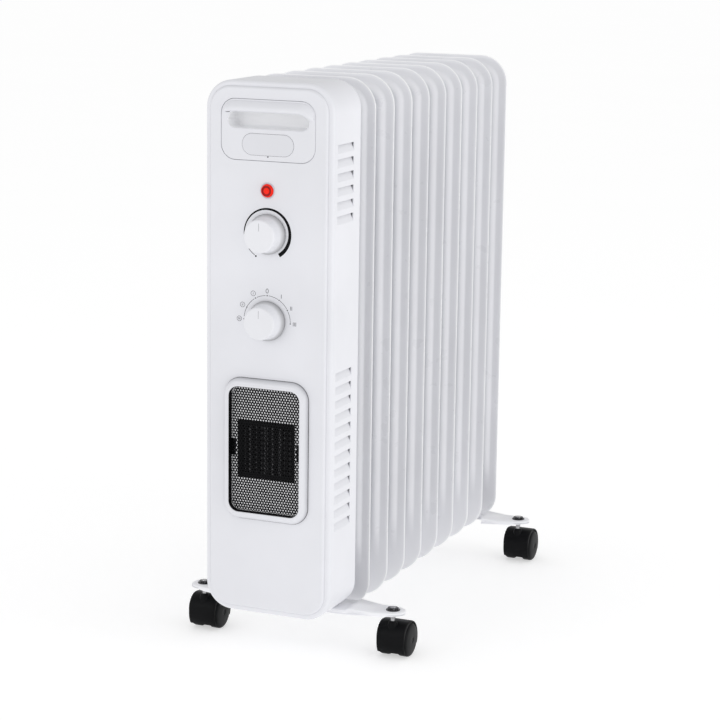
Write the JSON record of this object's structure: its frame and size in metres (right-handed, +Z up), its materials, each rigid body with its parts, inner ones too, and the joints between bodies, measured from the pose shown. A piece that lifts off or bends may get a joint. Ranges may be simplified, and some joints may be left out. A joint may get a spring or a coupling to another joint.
{
  "type": "oil filled radiator heater",
  "caption": "Oil filled column heater on casters: white pressed fins behind a slim control housing with two dials, a lamp and a fan heater grille.",
  "frame": {"origin": "centre of the footprint, on the floor under the caster wheels", "axes": "+Z up, +X to the right of the control panel, +Y from the control panel back along the fins; the panel faces -Y"},
  "size_m": [0.2706, 0.562, 0.6365],
  "materials": {
    "fin_enamel": "satin stoved enamel",
    "casing_enamel": "satin powder coat",
    "fascia_plastic": "satin moulded ABS",
    "badge_plastic": "satin",
    "bezel_plastic": "gloss",
    "knob_plastic": "satin",
    "red_lens": "translucent gloss",
    "dark_plastic": "matte",
    "pale_plastic": "matte",
    "grille_black": "satin black, perforated",
    "bright_plate": "bright",
    "ptc_fins": "dark ceramic and fins",
    "zinc_steel": "zinc plated",
    "gasket_rubber": "matte",
    "gland_rubber": "matte",
    "bracket_enamel": "satin powder coat",
    "stem_chrome": "polished",
    "caster_plastic": "satin black nylon"
  },
  "bodies": {
    "heater": {"badge": "badge_plastic", "casing_back_plate": "casing_enamel", "casing_screws": "zinc_steel", "caster_stems_with_nuts": "stem_chrome", "control_casing": "casing_enamel", "cord_gland": "gland_rubber", "fan_bezel": "bezel_plastic", "fan_grille": "grille_black", "fan_housing": "dark_plastic", "fan_motor": "zinc_steel", "fin_01": "fin_enamel", "fin_02": "fin_enamel", "fin_03": "fin_enamel", "fin_04": "fin_enamel", "fin_05": "fin_enamel", "fin_06": "fin_enamel", "fin_07": "fin_enamel", "fin_08": "fin_enamel", "fin_09": "fin_enamel", "front_fascia": "fascia_plastic", "front_foot_bracket": "bracket_enamel", "handle_insert": "fascia_plastic", "heating_element": "zinc_steel", "indicator_lens": "red_lens", "lamp_body": "dark_plastic", "port_gaskets": "gasket_rubber", "ptc_core": "ptc_fins", "ptc_frame": "dark_plastic", "rear_foot_bracket": "bracket_enamel", "rear_port_caps": "fin_enamel", "reflector_plate": "bright_plate", "selector_body": "dark_plastic", "terminal_block": "pale_plastic", "thermal_cutout": "bright_plate", "thermostat_body": "dark_plastic", "tip_over_frame": "dark_plastic", "u_bolts_with_wing_nuts": "zinc_steel", "upper_port_plug": "zinc_steel"},
    "thermostat_dial": {"thermostat_knob": "knob_plastic", "thermostat_shaft": "zinc_steel"},
    "selector_dial": {"selector_knob": "knob_plastic", "selector_shaft": "zinc_steel"},
    "impeller": {"fan_impeller": "dark_plastic"},
    "pendulum": {"tip_over_pendulum": "zinc_steel"},
    "front_left_caster": {"front_left_caster_hood": "caster_plastic", "front_left_caster_axle": "caster_plastic"},
    "front_left_caster_left_wheel": {"front_left_caster_left_wheel": "caster_plastic"},
    "front_left_caster_right_wheel": {"front_left_caster_right_wheel": "caster_plastic"},
    "front_right_caster": {"front_right_caster_hood": "caster_plastic", "front_right_caster_axle": "caster_plastic"},
    "front_right_caster_left_wheel": {"front_right_caster_left_wheel": "caster_plastic"},
    "front_right_caster_right_wheel": {"front_right_caster_right_wheel": "caster_plastic"},
    "rear_left_caster": {"rear_left_caster_hood": "caster_plastic", "rear_left_caster_axle": "caster_plastic"},
    "rear_left_caster_left_wheel": {"rear_left_caster_left_wheel": "caster_plastic"},
    "rear_left_caster_right_wheel": {"rear_left_caster_right_wheel": "caster_plastic"},
    "rear_right_caster": {"rear_right_caster_hood": "caster_plastic", "rear_right_caster_axle": "caster_plastic"},
    "rear_right_caster_left_wheel": {"rear_right_caster_left_wheel": "caster_plastic"},
    "rear_right_caster_right_wheel": {"rear_right_caster_right_wheel": "caster_plastic"}
  },
  "joints": [
    {"name": "thermostat_turn", "type": "hinge", "parent": "heater", "child": "thermostat_dial", "pos_m": [0, -0.2595, 0.4765], "axis": [0, 1, 0], "range_deg": [-150, 150]},
    {"name": "selector_turn", "type": "hinge", "parent": "heater", "child": "selector_dial", "pos_m": [0, -0.2595, 0.3835], "axis": [0, 1, 0], "range_deg": [-95, 95]},
    {"name": "impeller_spin", "type": "hinge", "parent": "heater", "child": "impeller", "pos_m": [0, -0.2365, 0.2415], "axis": [0, 1, 0], "continuous": true},
    {"name": "pendulum_swing", "type": "hinge", "parent": "heater", "child": "pendulum", "pos_m": [0.042, -0.2015, 0.1545], "axis": [1, 0, 0], "range_deg": [-18, 18]},
    {"name": "front_left_swivel", "type": "hinge", "parent": "heater", "child": "front_left_caster", "pos_m": [-0.1167, -0.1775, 0.0413], "axis": [0, 0, 1], "continuous": true},
    {"name": "front_left_left_wheel_roll", "type": "hinge", "parent": "front_left_caster", "child": "front_left_caster_left_wheel", "pos_m": [-0.1287, -0.1645, 0.019], "axis": [1, 0, 0], "continuous": true},
    {"name": "front_left_right_wheel_roll", "type": "hinge", "parent": "front_left_caster", "child": "front_left_caster_right_wheel", "pos_m": [-0.1047, -0.1645, 0.019], "axis": [1, 0, 0], "continuous": true},
    {"name": "front_right_swivel", "type": "hinge", "parent": "heater", "child": "front_right_caster", "pos_m": [0.1167, -0.1775, 0.0413], "axis": [0, 0, 1], "continuous": true},
    {"name": "front_right_left_wheel_roll", "type": "hinge", "parent": "front_right_caster", "child": "front_right_caster_left_wheel", "pos_m": [0.1047, -0.1645, 0.019], "axis": [1, 0, 0], "continuous": true},
    {"name": "front_right_right_wheel_roll", "type": "hinge", "parent": "front_right_caster", "child": "front_right_caster_right_wheel", "pos_m": [0.1287, -0.1645, 0.019], "axis": [1, 0, 0], "continuous": true},
    {"name": "rear_left_swivel", "type": "hinge", "parent": "heater", "child": "rear_left_caster", "pos_m": [-0.1167, 0.238, 0.0413], "axis": [0, 0, 1], "continuous": true},
    {"name": "rear_left_left_wheel_roll", "type": "hinge", "parent": "rear_left_caster", "child": "rear_left_caster_left_wheel", "pos_m": [-0.1287, 0.251, 0.019], "axis": [1, 0, 0], "continuous": true},
    {"name": "rear_left_right_wheel_roll", "type": "hinge", "parent": "rear_left_caster", "child": "rear_left_caster_right_wheel", "pos_m": [-0.1047, 0.251, 0.019], "axis": [1, 0, 0], "continuous": true},
    {"name": "rear_right_swivel", "type": "hinge", "parent": "heater", "child": "rear_right_caster", "pos_m": [0.1167, 0.238, 0.0413], "axis": [0, 0, 1], "continuous": true},
    {"name": "rear_right_left_wheel_roll", "type": "hinge", "parent": "rear_right_caster", "child": "rear_right_caster_left_wheel", "pos_m": [0.1047, 0.251, 0.019], "axis": [1, 0, 0], "continuous": true},
    {"name": "rear_right_right_wheel_roll", "type": "hinge", "parent": "rear_right_caster", "child": "rear_right_caster_right_wheel", "pos_m": [0.1287, 0.251, 0.019], "axis": [1, 0, 0], "continuous": true}
  ]
}
